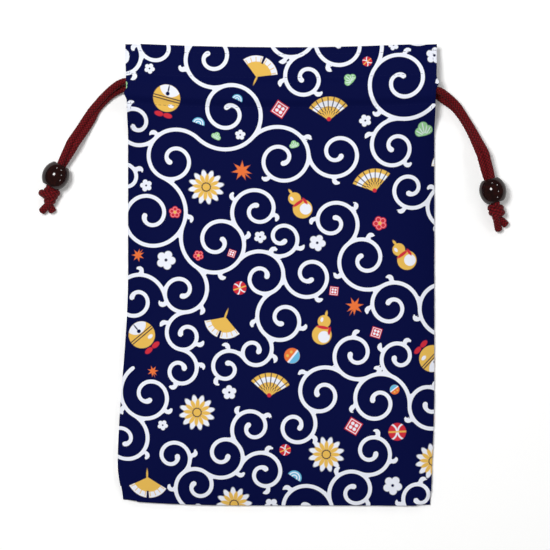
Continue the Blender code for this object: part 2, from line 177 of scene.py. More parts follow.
# Each row of a pair is a point midway between the two strands, how far each strand lies from it,
# and how steeply the way from one strand to the other leans, in degrees.
CORDS = {
    "left": {
        "side": -1,
        "lane": CHANNEL_MIDDLE + LANE_OFFSET,
        "bead": Vector((-141.3, 63.4, BEAD_LEVEL)),
        "way": Vector((-0.47, -0.883, 0.0)).normalized(),
        "knot": Vector((-145.2, 51.3, 6.0)),
        "loop": Vector((-150.4, 52.3, 3.6)),
        "tails": (Vector((-143.6, 40.2, 2.4)), Vector((-150.9, 40.8, 2.4))),
        "pair": [
            (-91.6, 121.0, 8.1, 4.2, 90.0),
            (-96.8, 121.9, 7.7, 3.8, 63.0),
            (-103.4, 118.8, 5.8, 2.9, 60.0),
            (-109.4, 114.2, 4.5, 2.2, 61.0),
            (-116.4, 106.5, 4.0, STRAND_OFFSET, 55.0),
            (-120.5, 99.9, 3.6, STRAND_OFFSET, 22.0),
            (-125.2, 92.4, 4.6, STRAND_OFFSET, 4.0),
        ],
        "leans": (12.0, 24.0, 48.0, 66.0, 90.0),
    },
    "right": {
        "side": 1,
        "lane": CHANNEL_MIDDLE - LANE_OFFSET,
        "bead": Vector((137.8, 53.8, BEAD_LEVEL)),
        "way": Vector((0.26, -0.966, 0.0)).normalized(),
        "knot": Vector((140.3, 41.4, 6.0)),
        "loop": Vector((137.3, 36.6, 3.4)),
        "tails": (Vector((147.3, 31.9, 2.4)), Vector((142.2, 28.9, 2.4))),
        "pair": [
            (96.0, 116.4, 8.1, 4.2, 90.0),
            (101.9, 116.6, 7.5, 3.8, 70.0),
            (108.0, 113.0, 5.8, 2.9, 57.0),
            (114.4, 107.8, 4.5, 2.2, 60.0),
            (119.4, 101.0, 4.1, STRAND_OFFSET, 68.0),
            (124.0, 93.4, 4.3, STRAND_OFFSET, 64.0),
            (128.7, 83.9, 5.6, STRAND_OFFSET, 45.0),
        ],
        "leans": (18.0, 10.0, 16.0, 44.0, 90.0),
    },
}


def smooth_route(points, steps):
    """Reads points from a smooth curve through the given ones, with so many steps for each span."""
    ends = [2 * points[0] - points[1], *points, 2 * points[-1] - points[-2]]
    route = [points[0]]
    for before, start, end, after in zip(ends, ends[1:], ends[2:], ends[3:]):
        for step in range(1, steps + 1):
            t = step / steps
            bend = (2 * before - 5 * start + 4 * end - after) * t**2
            bend += (3 * start - before - 3 * end + after) * t**3
            route.append(0.5 * (2 * start + (end - before) * t + bend))
    return route


def lane_point(lane, x, level):
    return Vector((x, float(settled(lane, across(x, lane))), level))


def knot_turns(cord):
    """The ends past the bead: one strand runs on as a core, and the other is wound round it."""
    way, middle = cord["way"], cord["knot"]
    side, up = Vector((-way.y, way.x, 0.0)), Vector((0, 0, 1))
    to_loop = cord["loop"] - middle
    loop_along = to_loop.dot(way)
    loop_share = (loop_along + KNOT_LENGTH / 2) / KNOT_LENGTH
    loop_angle = math.atan2(to_loop.dot(up), to_loop.dot(side))
    loop_reach = (to_loop - way * loop_along).length
    wound = []
    for n in range(TURN_POINTS + 1):
        from_loop = n / TURN_POINTS - loop_share
        angle = loop_angle + 2 * math.pi * KNOT_TURNS * from_loop
        reach = KNOT_REACH + (loop_reach - KNOT_REACH) * math.exp(-((from_loop / 0.1) ** 2))
        round_ = side * math.cos(angle) + up * math.sin(angle)
        wound.append(middle + way * (KNOT_LENGTH * (n / TURN_POINTS - 0.5)) + reach * round_)
        wound[-1].z = max(wound[-1].z, KNOT_REST_LEVEL)
    core_tail, wound_tail = [tail + up * TAIL_LIFT for tail in cord["tails"]]
    wound += [wound[-1].lerp(wound_tail, 0.5) + up * 0.4, wound_tail]
    core = [middle - way * 3.0 - up * 0.3, middle + way * 1.0, middle + way * 4.2 - up * 0.8]
    core += [core[-1].lerp(core_tail, 0.5) - up * 0.2, core_tail]
    return wound, core


def pair_points(rows, side):
    """The two strands of a doubled cord, from rows such as those of a pair."""
    upper, lower = [], []
    for n, row in enumerate(rows):
        ahead = rows[min(n + 1, len(rows) - 1)] - rows[max(n - 1, 0)]
        outward = Vector((ahead[1], -ahead[0], 0.0)).normalized() * -side
        lean = math.radians(row[4])
        reach = row[3] * (math.cos(lean) * outward + math.sin(lean) * Vector((0, 0, 1)))
        middle = Vector((row[0], row[1], row[2]))
        upper.append(middle + reach)
        lower.append(middle - reach)
    return upper, lower


def cord_route(cord):
    """The whole centreline of one cord, from one tail to the other, in millimetres."""
    side, lane, bead, way = cord["side"], cord["lane"], cord["bead"], cord["way"]
    near_edge, far_edge = (left_edge, right_edge) if side < 0 else (right_edge, left_edge)
    near = float(near_edge(lane)) - side * (HEM_END_INSET + 2.0)
    far = float(far_edge(lane)) + side * (HEM_END_INSET + 2.0)
    bead_end = BEAD_LENGTH / 2
    straight = (bead_end + BEAD_TRAVEL + 4.5, bead_end + BEAD_TRAVEL + 1.0, bead_end + 6.3)
    straight += (bead_end + 0.8, 0.0)
    xs = [near + (far - near) * n / LANE_POINTS for n in range(LANE_POINTS + 1)]
    front = [lane_point(lane, x, FRONT_STRAND_LEVEL) for x in xs]
    back = [lane_point(lane, x, BACK_STRAND_LEVEL) for x in xs]
    turn_radius = (FRONT_STRAND_LEVEL - BACK_STRAND_LEVEL) / 2
    middle = (front[-1] + back[-1]) / 2
    turn = []
    for n in range(1, 10):
        angle = math.pi * n / 10
        reach = Vector((-side * math.sin(angle), 0, math.cos(angle)))
        turn.append(middle + turn_radius * reach)

    rows = [Vector((*((front[0] + back[0]) / 2), turn_radius, 90.0))]
    rows += [Vector(row) for row in cord["pair"]]
    for distance, lean in zip(straight, cord["leans"]):
        rows.append(Vector((*(bead - way * distance), STRAND_OFFSET, lean)))
    rows = smooth_route(rows, 6) + [Vector((*(bead + way * (bead_end + 0.5)), STRAND_OFFSET, 90.0))]
    first, last = pair_points(rows, side)
    wound, core = knot_turns(cord)
    points = wound[::-1] + first[::-1] + front[1:] + turn + back[::-1][:-1] + last + core
    return smooth_route(points, 5)


def spaced_out(points, fine, coarse, fine_length):
    """The same route with close points near both ends, and wider ones where it is hidden."""
    lengths = np.cumsum([0.0] + [(b - a).length for a, b in zip(points, points[1:])])
    total = lengths[-1]
    at = [0.0]
    while at[-1] < total - fine:
        hidden = fine_length < at[-1] < total - fine_length
        at.append(at[-1] + (coarse if hidden else fine))
    table = np.array(points)
    return np.stack([np.interp(at, lengths, table[:, i]) for i in range(3)], axis=1), np.array(at)


SEEN_LENGTH = 160.0

for name, cord in CORDS.items():
    points = cord_route(cord)
    cord["path"], cord["along"] = spaced_out(points, 0.24, 1.2, SEEN_LENGTH)
    cord["route"], _ = spaced_out(points, 1.6, 1.6, SEEN_LENGTH)
    print(name, "cord:", round(float(cord["along"][-1])), "mm long")

# %% [markdown]
# ### The braid
#
# Six strands go round each way. Where two cross, one lies on top, and the next crossing is the other way
# round, so the top strand is chosen as on a chessboard. The same height is kept on the mesh as an
# attribute, and the cord's material reads it to paint shade into the grooves and light onto the crowns.

# %% Braided tube
STRANDS_EACH_WAY = 6
BRAID_PITCH = 13.0
BRAID_DEPTH = 0.38
SIDES = 48


def braid_height(turn, along):
    """How high the braid stands, from 0 in a groove to 1 on a strand, lower where it dives under."""
    one = STRANDS_EACH_WAY * (turn / (2 * math.pi) + along / BRAID_PITCH)
    other = STRANDS_EACH_WAY * (turn / (2 * math.pi) - along / BRAID_PITCH)
    on_top = (np.floor(one) + np.floor(other)) % 2 == 0
    crown = np.where(on_top, np.abs(np.sin(math.pi * one)), np.abs(np.sin(math.pi * other)))
    dive = np.where(on_top, np.abs(np.sin(math.pi * other)), np.abs(np.sin(math.pi * one)))
    return crown**0.6 * (0.62 + 0.38 * dive)


def carried_frames(path):
    """A pair of directions across the path at each point, carried along without twisting."""
    ahead = np.gradient(path, axis=0)
    ahead /= np.linalg.norm(ahead, axis=1, keepdims=True)
    first = np.zeros_like(path)
    start = np.cross(ahead[0], (0.0, 0.0, 1.0))
    first[0] = start / np.linalg.norm(start)
    for n in range(1, len(path)):
        carried = first[n - 1] - ahead[n] * np.dot(first[n - 1], ahead[n])
        first[n] = carried / np.linalg.norm(carried)
    return ahead, first, np.cross(ahead, first)


def link_mesh(name, verts, faces, materials):
    mesh = bpy.data.meshes.new(name)
    mesh.from_pydata(verts, [], faces)
    for finish in materials:
        mesh.materials.append(finish)
    mesh.shade_smooth()
    made = bpy.data.objects.new(name, mesh)
    bpy.context.scene.collection.objects.link(made)
    return made


def braided_cord(name, path, along, radius, finish):
    """The braided tube along a path, in millimetres, with cut ends."""
    ahead, first, second = carried_frames(path)
    turn = 2 * math.pi * np.arange(SIDES) / SIDES
    height = braid_height(turn[None, :], along[:, None])
    reach = radius[:, None] - BRAID_DEPTH * (1 - height)
    circle = np.cos(turn)[None, :, None] * first[:, None] + np.sin(turn)[None, :, None] * second[:, None]
    rings = path[:, None] + reach[..., None] * circle
    verts = np.concatenate([rings.reshape(-1, 3), path[:1], path[-1:]]) * MM
    count = len(path)
    faces = []
    for n in range(count - 1):
        low, high = n * SIDES, (n + 1) * SIDES
        faces += [(low + k, low + (k + 1) % SIDES, high + (k + 1) % SIDES, high + k) for k in range(SIDES)]
    last = (count - 1) * SIDES
    faces += [(count * SIDES, (k + 1) % SIDES, k) for k in range(SIDES)]
    faces += [(count * SIDES + 1, last + k, last + (k + 1) % SIDES) for k in range(SIDES)]
    made = link_mesh(name, verts.tolist(), faces, [finish])
    groove = made.data.attributes.new("braid", "FLOAT", "POINT")
    groove.data.foreach_set("value", np.concatenate([height.ravel(), [0.3, 0.3]]))
    return made


# %% [markdown]
# ### The cord's colour
#
# The yarn is dark wine red. Shade is painted into the grooves of the braid, nearly black, and light is
# painted onto its crowns, so the colour follows the braid's height, with a little unevenness from yarn to
# yarn.

# %% Helpers for materials


def linear(red, green, blue):
    """A colour as it is seen on a screen, from 0 to 255, as Blender's shaders want it."""
    shares = (red / 255, green / 255, blue / 255)
    return tuple(((c + 0.055) / 1.055) ** 2.4 if c > 10 / 255 else c / 12.92 for c in shares)


def new_material(name, **sockets):
    """A Principled material with its constant values on the shader's own sockets."""
    made = bpy.data.materials.new(name)
    made.use_nodes = True
    shader = made.node_tree.nodes["Principled BSDF"]
    for socket, value in sockets.items():
        shader.inputs[socket.replace("_", " ")].default_value = value
    return made, made.node_tree, shader


def add_node(tree, kind, values=(), **settings):
    """A node with its settings and its unlinked inputs filled in."""
    node = tree.nodes.new(kind)
    for setting, value in settings.items():
        setattr(node, setting, value)
    for socket, value in dict(values).items():
        node.inputs[socket].default_value = value
    return node


def mix_colours(tree, factor, low, high):
    """Mixes two colours, each a socket or a fixed colour, by a factor socket."""
    node = add_node(tree, "ShaderNodeMix", data_type="RGBA")
    tree.links.new(factor, node.inputs["Factor"])
    for value, socket in ((low, node.inputs[6]), (high, node.inputs[7])):
        if isinstance(value, tuple):
            socket.default_value = (*value, 1.0)
        else:
            tree.links.new(value, socket)
    return node.outputs[2]


def math_node(tree, operation, first, second=None):
    node = add_node(tree, "ShaderNodeMath", operation=operation)
    for value, socket in ((first, node.inputs[0]), (second, node.inputs[1])):
        if value is None:
            continue
        if isinstance(value, (int, float)):
            socket.default_value = value
        else:
            tree.links.new(value, socket)
    return node.outputs[0]


def bump(tree, shader, height, strength, distance):
    node = add_node(tree, "ShaderNodeBump", {"Strength": strength, "Distance": distance})
    tree.links.new(height, node.inputs["Height"])
    tree.links.new(node.outputs["Normal"], shader.inputs["Normal"])


def cord_material():
    made, tree, shader = new_material(
        "red braid", Roughness=0.7, Sheen_Weight=0.03, Sheen_Roughness=0.5, Specular_IOR_Level=0.12
    )
    height = add_node(tree, "ShaderNodeAttribute", attribute_name="braid").outputs["Fac"]
    place = add_node(tree, "ShaderNodeTexCoord").outputs["Object"]
    yarn = add_node(tree, "ShaderNodeTexNoise", {"Scale": 900.0, "Detail": 3.0})
    tree.links.new(place, yarn.inputs["Vector"])
    # Painted shade in the grooves, nearly black, and painted light on the crowns, both by the braid's
    # height
    height = math_node(tree, "POWER", height, 2.1)
    painted_groove_shade_and_crown_light = mix_colours(tree, height, linear(18, 0, 2), linear(138, 16, 25))
    lit = math_node(tree, "MULTIPLY", yarn.outputs["Fac"], 0.3)
    colour = mix_colours(tree, lit, painted_groove_shade_and_crown_light, linear(64, 5, 10))
    tree.links.new(colour, shader.inputs["Base Color"])
    bump(tree, shader, yarn.outputs["Fac"], 0.5, 0.0001)
    return made


# %% [markdown]
# ### Making the two cords
#
# Nothing presses on a cord outside the bag, so it is fuller there than in its channel, and fullest
# above the bead, where its strands turn over each other. At a cut end the braid opens a little and
# its rim is rounded. No part of it goes below the table.

# %% Cords
FULLER_OUTSIDE, FULLER_ABOVE_BEAD, FRAY, END_ROUNDING = 0.12, 0.05, 0.13, 0.22
TABLE_CLEARANCE = 0.03

red_braid = cord_material()
for name, cord in CORDS.items():
    along = cord["along"]
    from_end = np.minimum(along, along[-1] - along)
    fullness = 1.0 + FULLER_OUTSIDE * (1 - ease(from_end, SEEN_LENGTH - 15, SEEN_LENGTH - 2))
    above_bead = (np.array(cord["bead"]) - cord["path"]) @ np.array(cord["way"])
    swell = FULLER_ABOVE_BEAD * ease(above_bead, BEAD_LENGTH, BEAD_LENGTH + 8)
    fullness = fullness * (1.0 + swell * (fullness > 1.1))
    frayed = FRAY * (1 - ease(from_end, 2.0, 8.0))
    rounded = 1.0 - END_ROUNDING * (1 - np.clip(from_end / 0.5, 0.0, 1.0)) ** 2
    radius = CORD_RADIUS * (fullness + frayed) * rounded
    cord["path"][:, 2] = np.maximum(cord["path"][:, 2], radius + TABLE_CLEARANCE)
    piece = braided_cord(f"{name}_cord_braid", cord["path"], along, radius, red_braid)
    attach(piece, "bag")
    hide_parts(f"{name}_cord", f"{name}_knot")
    exit_point = cord["bead"] + cord["way"] * (BEAD_LENGTH / 2)
    tuple(exit_point * MM)
    (cord["route"] * MM).tolist() + [(cord["path"][-1] * MM).tolist()]
    print(piece.name, len(piece.data.polygons), "faces")

# %% [markdown]
# ## The beads
#
# A turned bead is a section spun round its bore. The section here is a full round side that rolls
# over into the bore at both ends. The finish is a dark lacquer: nearly black, with a smooth coat
# that mirrors the lamps, and a faint warm cloud under it. Only the coat shines, since two shining
# layers over each other would turn the dark brown into grey.

# %% Beads
BORE_RADIUS, BEAD_LIP = 4.4, 1.0


def bead_section(side_steps=40, lip_steps=8):
    """Points (radius, along) of the outer side and both lips, from one end of the bore round."""
    half, widest = BEAD_LENGTH / 2, BEAD_DIAMETER / 2
    side_end = half - BEAD_LIP / 5
    steep = math.acos((BORE_RADIUS + BEAD_LIP) / widest)
    side = []
    for n in range(side_steps + 1):
        angle = steep * (2 * n / side_steps - 1)
        side.append((widest * math.cos(angle), side_end * math.sin(angle) / math.sin(steep)))
    lips = []
    for n in range(1, lip_steps + 1):
        angle = math.pi * n / lip_steps
        radius = BORE_RADIUS + BEAD_LIP / 2 * (1 + math.cos(angle))
        lips.append((radius, half - BEAD_LIP / 5 * (1 - math.sin(angle))))
    lips[-1] = (BORE_RADIUS, half - BEAD_LIP / 2)
    return side + lips + [(radius, -along) for radius, along in reversed(lips)]


def bead_material():
    made, tree, shader = new_material(
        "dark lacquer",
        Roughness=0.5,
        Specular_IOR_Level=0.0,
        Coat_Weight=0.5,
        Coat_IOR=1.6,
        Coat_Roughness=0.09,
    )
    place = add_node(tree, "ShaderNodeTexCoord").outputs["Object"]
    cloud = add_node(tree, "ShaderNodeTexNoise", {"Scale": 260.0, "Detail": 2.0, "Distortion": 1.5})
    tree.links.new(place, cloud.inputs["Vector"])
    warm = math_node(tree, "POWER", cloud.outputs["Fac"], 3.0)
    colour = mix_colours(tree, warm, linear(16, 1, 1), linear(66, 18, 8))
    tree.links.new(colour, shader.inputs["Base Color"])
    return made


TURNS = 96
lacquer = bead_material()
for name, cord in CORDS.items():
    section = bead_section()
    verts, faces = [], []
    across_way = Vector((-cord["way"].y, cord["way"].x, 0.0))
    for n in range(TURNS):
        angle = 2 * math.pi * n / TURNS
        out = across_way * math.cos(angle) + Vector((0, 0, 1)) * math.sin(angle)
        verts += [(cord["bead"] + out * radius + cord["way"] * along) * MM for radius, along in section]
    count = len(section)
    for n in range(TURNS):
        low, high = n * count, (n + 1) % TURNS * count
        faces += [(low + k, low + (k + 1) % count, high + (k + 1) % count, high + k) for k in range(count)]
    bead = link_mesh(f"{name}_bead_turned", verts, faces, [lacquer])
    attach(bead, f"{name}_bead")
    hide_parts(f"{name}_bead")
    print(bead.name, len(faces), "faces")

# %% [markdown]
# ## The print
#
# The cloth is navy with white winding vines and small coloured motifs, as on many kerchiefs. A
# picture of it would blur when it is seen close up, so nothing here is a picture. The points of the
# cloth carry numbers, and the material draws sharp edges from them.
#
# For the vines the number is the distance to the nearest vine's edge. A vine is a line that bends
# more and more until it ends in a small round eye. A branch leaves its parent along the parent's
# own direction and bends the other way, which is what makes the pattern flow. A map of square
# millimetres notes what is taken, so that no vine comes too close to another.

# %% Growing the vines
VINE_HALF_WIDTH = 1.25
VINE_GAP = 7.2
PRINT_LOW, PRINT_HIGH = (-118.0, -160.0), (124.0, 200.0)
MAP_MARGIN = 45
LARGE_MOTIF = 11.3
LARGE_MOTIF_SPACING = 49.0
VINE_BENDS = (24.0, 20.0, 17.0, 14.0, 12.0, 10.0, 8.5, 7.0, 6.0)
EYE = 3.2
WALK = 1.2
FIRST_BEND, FIRST_TRIES = 26.0, 60
# Where along a vine its leaves stand, and how clear they stay of the vines and of each other
HOOK_PLACES = (0.27, 0.6)
CROWN_CLEAR, TIP_CLEAR, HOOK_SPACING = 3.3, 2.9, 9.0


def wind(start, heading, hand, wide, step):
    """Walks along one vine, and gives (x, y, heading, share of its bends) at each step."""
    x, y = start
    sweep = 2 * math.pi * (0.8 + (wide - EYE) / 24)
    turned = 0.0
    path = [(x, y, heading, 0.0)]
    while turned < sweep:
        turn = step / (EYE + (wide - EYE) * (1 - turned / sweep) ** 1.15)
        x += step * math.cos(heading + hand * turn / 2)
        y += step * math.sin(heading + hand * turn / 2)
        heading += hand * turn
        turned += turn
        path.append((x, y, heading, min(turned / sweep, 1.0)))
    return path


class PrintMap:
    """Says which vine or motif has claimed each square millimetre of the print."""

    def __init__(self):
        width = int(PRINT_HIGH[0] - PRINT_LOW[0]) + 2 * MAP_MARGIN
        height = int(PRINT_HIGH[1] - PRINT_LOW[1]) + 2 * MAP_MARGIN
        self.owner = np.zeros((width, height), dtype=int)

    def cells(self, path):
        table = np.array([point[:2] for point in path])
        return (table - np.array(PRINT_LOW) + MAP_MARGIN).astype(int)

    def owners(self, path):
        """The claims along a path, or nothing if it leaves the map."""
        cells = self.cells(path)
        if cells.min() < 8 or (cells >= np.array(self.owner.shape) - 8).any():
            return None
        return self.owner[cells[:, 0], cells[:, 1]]

    def claim(self, path, reach, number):
        span = np.arange(-int(reach), int(reach) + 1)
        across_, up = np.meshgrid(span, span)
        disc_ = np.stack([across_, up], axis=-1)[np.hypot(across_, up) <= reach]
        cells = (self.cells(path)[:, None, :] + disc_[None, :, :]).reshape(-1, 2)
        cells = np.clip(cells, 0, np.array(self.owner.shape) - 1)
        free = self.owner[cells[:, 0], cells[:, 1]] == 0
        self.owner[cells[free, 0], cells[free, 1]] = number


def random_spot(chance, margin=0.0):
    x = chance.uniform(PRINT_LOW[0] - margin, PRINT_HIGH[0] + margin)
    return x, chance.uniform(PRINT_LOW[1] - margin, PRINT_HIGH[1] + margin)


def spread_spots(chance, spacing):
    """Random spots that keep their distance."""
    spots = []
    for _ in range(1500):
        spot = random_spot(chance)
        if all(math.dist(spot, other) > spacing for other in spots):
            spots.append(spot)
    return spots


def grow_vines(seed):
    """Gives the spots of the large motifs, and every vine as (start, heading, hand, bend)."""
    chance = random.Random(seed)
    area = PrintMap()
    large = spread_spots(chance, LARGE_MOTIF_SPACING)
    for spot in large:
        area.claim([spot], LARGE_MOTIF + 2.6, -1)
    vines, paths = [], []

    def grow(start, heading, hand, wide, parent):
        path = wind(start, heading, hand, wide, WALK)
        owners = area.owners(path)
        if owners is None:
            return False
        clear = owners == 0
        clear[:12] |= owners[:12] == parent
        if clear.all():
            vines.append((start, heading, hand, wide))
            paths.append(path)
            area.claim(path, VINE_GAP, len(vines))
        return bool(clear.all())

    def grow_pair(wide):
        """An S of two vines from one point, with nothing above it."""
        spot = random_spot(chance, 10.0)
        heading = chance.uniform(0, 2 * math.pi)
        hand = chance.choice((-1, 1))
        if grow(spot, heading, hand, wide, 0):
            grow(spot, heading + math.pi, hand, wide * 0.8, len(vines))

    for _ in range(FIRST_TRIES):
        grow_pair(FIRST_BEND)
    for wide in VINE_BENDS:
        for _ in range(2):
            for number, path in list(enumerate(paths, 1)):
                hand = vines[number - 1][2]
                for _ in range(7):
                    x, y, heading, _ = path[int(len(path) * chance.uniform(0.05, 0.62))]
                    grow((x, y), heading - 0.12 * hand, -hand, wide * chance.uniform(0.88, 1.1), number)
        for _ in range(12):
            grow_pair(wide)
    return large, vines


def leaf_hook(point, hand):
    """A short curled leaf on the outer side of a vine, as (x, y, half width)."""
    x, y, heading, _ = point
    heading -= 1.35 * hand
    found = []
    for n in range(19):
        share = n / 18
        width = 1.0 + 0.5 * float(ease(share, 0.1, 0.6)) - 0.75 * float(ease(share, 0.62, 1.0))
        found.append((x, y, width))
        heading += 0.155 * hand if n > 6 else 0.0
        x += 0.36 * math.cos(heading)
        y += 0.36 * math.sin(heading)
    return found


def vine_points(vines, seed):
    """Points close together along every vine and leaf, with the half width there."""
    chance = random.Random(seed + 50)
    points, hooks = [], []
    for start, heading, hand, wide in vines:
        path = wind(start, heading, hand, wide, 0.4)
        for x, y, _, share in path:
            points.append((x, y, VINE_HALF_WIDTH * (1 + 0.35 * float(ease(share, 0.88, 1.0)))))
        for share in HOOK_PLACES:
            at = int(len(path) * (share + chance.uniform(-0.08, 0.08)))
            hooks.append(leaf_hook(path[at], hand))
    nearest = near_points(points)
    crowns = []
    for hook in hooks:
        crown = hook[12][:2]
        crown_room = nearest.find((*crown, 0.0))[2]
        tip_room = nearest.find((*hook[-1][:2], 0.0))[2]
        clear = crown_room > CROWN_CLEAR and tip_room > TIP_CLEAR
        if clear and all(math.dist(crown, other) > HOOK_SPACING for other in crowns):
            crowns.append(crown)
            points += hook
    return points


def near_points(points):
    tree = kdtree.KDTree(len(points))
    for n, point in enumerate(points):
        tree.insert((point[0], point[1], 0.0), n)
    tree.balance()
    return tree


# %% [markdown]
# ### Where the motifs go
#
# Large motifs were given their spots before the vines grew. Small ones fill the gaps that are left:
# the widest that fits goes in first. Each motif gets a frame of its own, turned at random, in which
# its rim is at a distance of 1. The cloth's points near it carry their place in that frame. The
# frame is a straight-line function of the place, so it stays exact between the points too.

# %% Placing the motifs
SMALL_SIZES = (6.4, 5.6, 4.8, 4.1, 3.5)
SMALL_GAP, GAP_TO_LARGE, GAP_TO_SMALL = 1.1, 6.8, 6.5
PATCH_MARGIN = 2.3


def place_small(large, points, seed):
    chance = random.Random(seed + 90)
    nearest = near_points(points)
    found = []
    for size in SMALL_SIZES:
        for _ in range(3000):
            spot = random_spot(chance)
            if nearest.find((spot[0], spot[1], 0.0))[2] < size + VINE_HALF_WIDTH + SMALL_GAP:
                continue
            if any(math.dist(spot, other) < size + LARGE_MOTIF + GAP_TO_LARGE for other in large):
                continue
            if any(math.dist(spot, other) < size + reach + GAP_TO_SMALL for other, reach in found):
                continue
            found.append((spot, size))
    return found


def print_numbers(u, v, seed):
    """What every point (u, v) of the cloth carries: its vine distance and its place in a motif."""
    large, vines = grow_vines(seed)
    points = vine_points(vines, seed)
    small = place_small(large, points, seed)
    nearest = near_points(points)
    vine = np.empty(len(u))
    for n in range(len(u)):
        near = nearest.find_n((u[n], v[n], 0.0), 3)
        vine[n] = min(distance - points[index][2] for _, index, distance in near)
    numbers = {"vine": np.minimum(vine, 4.0)}
    for name in ("motif_x", "motif_y", "motif_kind", "motif_here"):
        numbers[name] = np.zeros(len(u))
    chance = random.Random(seed + 7)
    jobs = [(spot, LARGE_MOTIF, n % len(LARGE)) for n, spot in enumerate(large)]
    for n, (spot, size) in enumerate(small):
        jobs.append((spot, size, len(LARGE) + n % len(SMALL)))
    for spot, size, kind in jobs:
        turn = chance.uniform(-0.9, 0.9) + (math.pi if chance.random() < 0.25 else 0.0)
        here = np.hypot(u - spot[0], v - spot[1]) < size + PATCH_MARGIN
        x, y = (u[here] - spot[0]) / size, (v[here] - spot[1]) / size
        numbers["motif_x"][here] = x * math.cos(turn) - y * math.sin(turn)
        numbers["motif_y"][here] = x * math.sin(turn) + y * math.cos(turn)
        numbers["motif_kind"][here] = kind
        numbers["motif_here"][here] = 1.0
    print("print", seed, ":", len(vines), "vines,", len(large), "large and", len(small), "small motifs")
    return numbers


# %% [markdown]
# ### The motifs' shapes
#
# The motifs are plain traditional ones: a folding fan, a gourd, a bell, a ginkgo leaf and a
# chrysanthemum in gold and white, and small blossoms, pines, leaves, waves, diamonds and balls. Each
# is a few shapes painted one over the other, and a shape is a formula that is negative inside it.
# The formulas are written as sums in Python, and every step of a sum adds one math node.

# %% Formulas as math nodes


class Formula:
    """A number in a material that can be added, multiplied and compared like any other."""

    tree = None

    def __init__(self, socket):
        self.socket = socket

    def __add__(self, other):
        return joined("ADD", self, other)

    def __sub__(self, other):
        return joined("SUBTRACT", self, other)

    def __rsub__(self, other):
        return joined("SUBTRACT", other, self)

    def __mul__(self, other):
        return joined("MULTIPLY", self, other)

    def __truediv__(self, other):
        return joined("DIVIDE", self, other)

    def __neg__(self):
        return joined("MULTIPLY", self, -1.0)

    def __abs__(self):
        return joined("ABSOLUTE", self)


def joined(operation, *values):
    """One math node on up to three numbers or formulas."""
    node = add_node(Formula.tree, "ShaderNodeMath", operation=operation)
    for value, socket in zip(values, node.inputs):
        if isinstance(value, Formula):
            Formula.tree.links.new(value.socket, socket)
        else:
            socket.default_value = value
    return Formula(node.outputs[0])


def reach_of(x, y):
    return joined("SQRT", joined("MULTIPLY_ADD", x, x, y * y))


def disc(x, y, cx, cy, r):
    return reach_of(x - cx, y - cy) - r


def oval(x, y, cx, cy, rx, ry):
    return (reach_of((x - cx) / rx, (y - cy) / ry) - 1.0) * min(rx, ry)


def band(value, middle, half):
    return abs(value - middle) - half


def both(first, *others):
    for other in others:
        first = joined("MAXIMUM", first, other)
    return first


def either(first, *others):
    for other in others:
        first = joined("MINIMUM", first, other)
    return first


def folded(x, y, count, first_at):
    """Folds the plane like a paper star, so that one petal drawn along x becomes many."""
    reach = reach_of(x, y)
    angle = joined("PINGPONG", joined("ARCTAN2", y, x) - first_at, math.pi / count)
    return reach * joined("COSINE", angle), reach * joined("SINE", angle)


def from_pivot(x, y, below):
    """Reach from a pivot below the middle, and the angle away from straight up."""
    y = y + below
    return reach_of(x, y), abs(joined("ARCTAN2", x, y))


# %% Large motifs


def fan(x, y):
    reach, lean = from_pivot(x, y, 0.55)
    inside = (lean - 0.95) * reach
    pleats = joined("PINGPONG", lean, 0.1357) * reach
    paper = both(band(reach, 0.94, 0.39), inside)
    return [
        ("gold", paper),
        ("white", both(band(reach, 0.96, 0.15), inside)),
        ("navy", both(paper, pleats - 0.027)),
        ("gold", both(reach - 0.56, inside, pleats - 0.045)),
        ("red", disc(x, y, 0.0, -0.47, 0.12)),
    ]


def gourd(x, y):
    body = either(disc(x, y, 0.0, -0.4, 0.55), disc(x, y, 0.0, 0.36, 0.36), oval(x, y, 0, 0.02, 0.24, 0.3))
    return [
        ("gold", either(body, oval(x, y, 0.05, 0.8, 0.07, 0.18))),
        ("white", disc(x, y, 0.14, -0.5, 0.33)),
        ("white", oval(x, y, -0.14, 0.44, 0.08, 0.13)),
        ("red", either(oval(x, y, 0.0, 0.02, 0.36, 0.09), oval(x, y, 0.38, -0.12, 0.08, 0.22))),
    ]


def bell(x, y):
    body = disc(x, y, 0.0, -0.14, 0.76)
    return [
        ("gold", body),
        ("white", both(body, disc(x, y, -0.1, -0.86, 0.62))),
        ("navy", both(body, band(abs(y + 0.12), 0.07, 0.028))),
        ("navy", either(disc(x, y, 0.0, -0.4, 0.11), oval(x, y, 0.0, -0.66, 0.04, 0.24))),
        ("white", oval(x, y, -0.32, 0.24, 0.16, 0.1)),
        ("red", either(oval(x, y, -0.25, 0.8, 0.25, 0.14), oval(x, y, 0.25, 0.8, 0.25, 0.14))),
    ]


def ginkgo(x, y):
    reach, lean = from_pivot(x, y, 0.5)
    inside = (lean - 1.05) * reach
    notch = both(0.8 - reach, (lean - 0.07) * reach)
    leaf = both(reach - 1.2, inside, -notch)
    veins = joined("PINGPONG", lean + 0.14, 0.14) * reach - 0.022
    return [
        ("gold", either(leaf, oval(x, y, 0.04, -0.66, 0.05, 0.3))),
        ("white", both(leaf, 0.86 - reach)),
        ("gold", both(leaf, reach - 1.12, veins)),
    ]


def chrysanthemum(x, y):
    px, py = folded(x, y, 12, 0.0)
    qx, qy = folded(x, y, 12, math.pi / 12)
    return [
        ("white", oval(px, py, 0.66, 0.0, 0.34, 0.15)),
        ("gold", oval(qx, qy, 0.48, 0.0, 0.27, 0.11)),
        ("navy", disc(x, y, 0.0, 0.0, 0.26)),
        ("gold", disc(x, y, 0.0, 0.0, 0.21)),
    ]


# %% [markdown]
# ### The small motifs
#
# These are made the same way. They are at most 13 mm across, so a few shapes are enough for each.

# %% Small motifs


def plum(x, y):
    px, py = folded(x, y, 5, math.pi / 2)
    return [
        ("white", either(disc(px, py, 0.57, 0.0, 0.39), disc(x, y, 0.0, 0.0, 0.4))),
        ("navy", disc(x, y, 0.0, 0.0, 0.15)),
    ]


